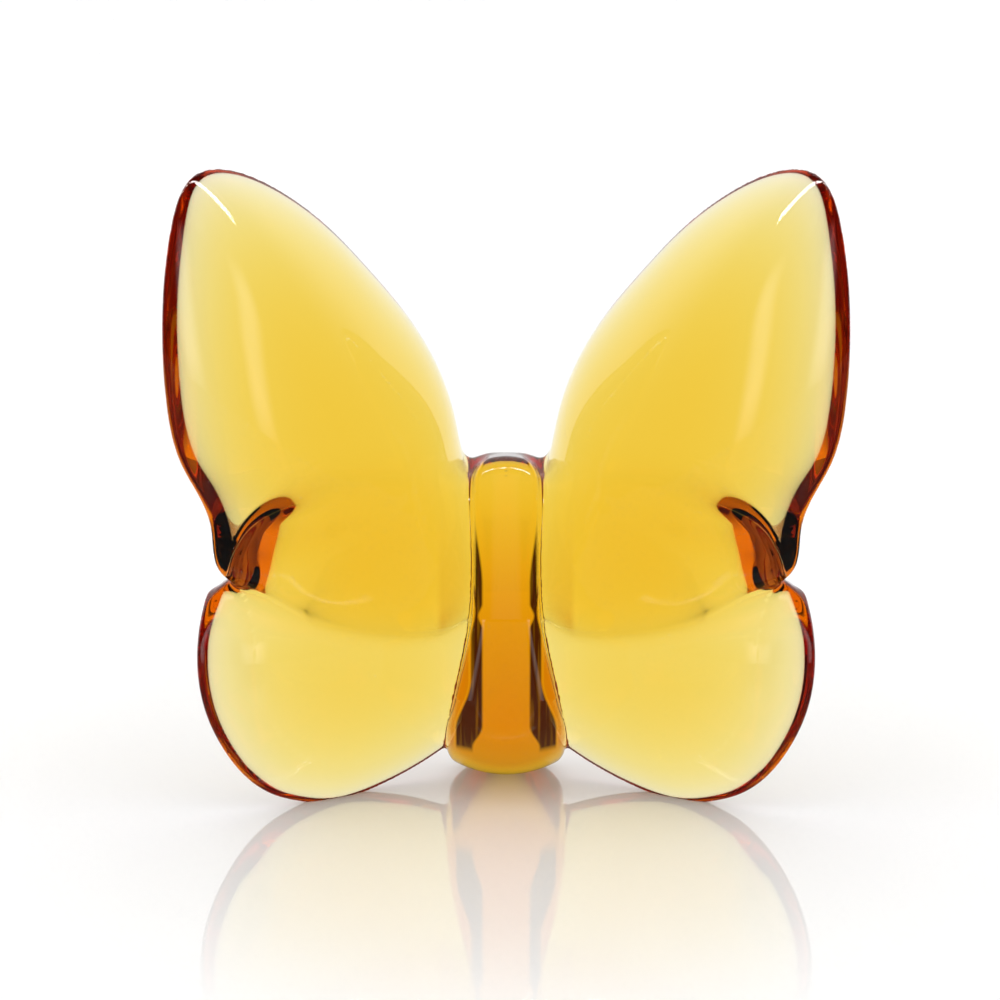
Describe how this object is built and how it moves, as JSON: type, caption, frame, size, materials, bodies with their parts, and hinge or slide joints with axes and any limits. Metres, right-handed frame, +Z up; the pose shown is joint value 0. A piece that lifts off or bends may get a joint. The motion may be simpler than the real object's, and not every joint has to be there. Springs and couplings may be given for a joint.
{
  "type": "butterfly ornament",
  "caption": "Standing glass butterfly: domed amber wings with flat backs, swept forward like an open book from a thick tapered body, on small ground flats.",
  "frame": {"origin": "on the surface that it stands on, under the middle of its width and depth", "axes": "+Z up, -Y towards the viewer, whom the hollow between the wings faces, +X to the viewer's right"},
  "size_m": [0.0658, 0.0273, 0.0643],
  "materials": {
    "amber_glass": "clear, polished, rounded edges",
    "clear_adhesive": "clear cured adhesive"
  },
  "bodies": {
    "root": {"body": "amber_glass", "forewing_left": "amber_glass", "forewing_right": "amber_glass", "forewing_root_bond_left": "clear_adhesive", "forewing_root_bond_right": "clear_adhesive", "hindwing_left": "amber_glass", "hindwing_right": "amber_glass", "hindwing_root_bond_left": "clear_adhesive", "hindwing_root_bond_right": "clear_adhesive", "lap_bond_left": "clear_adhesive", "lap_bond_right": "clear_adhesive"}
  },
  "joints": []
}
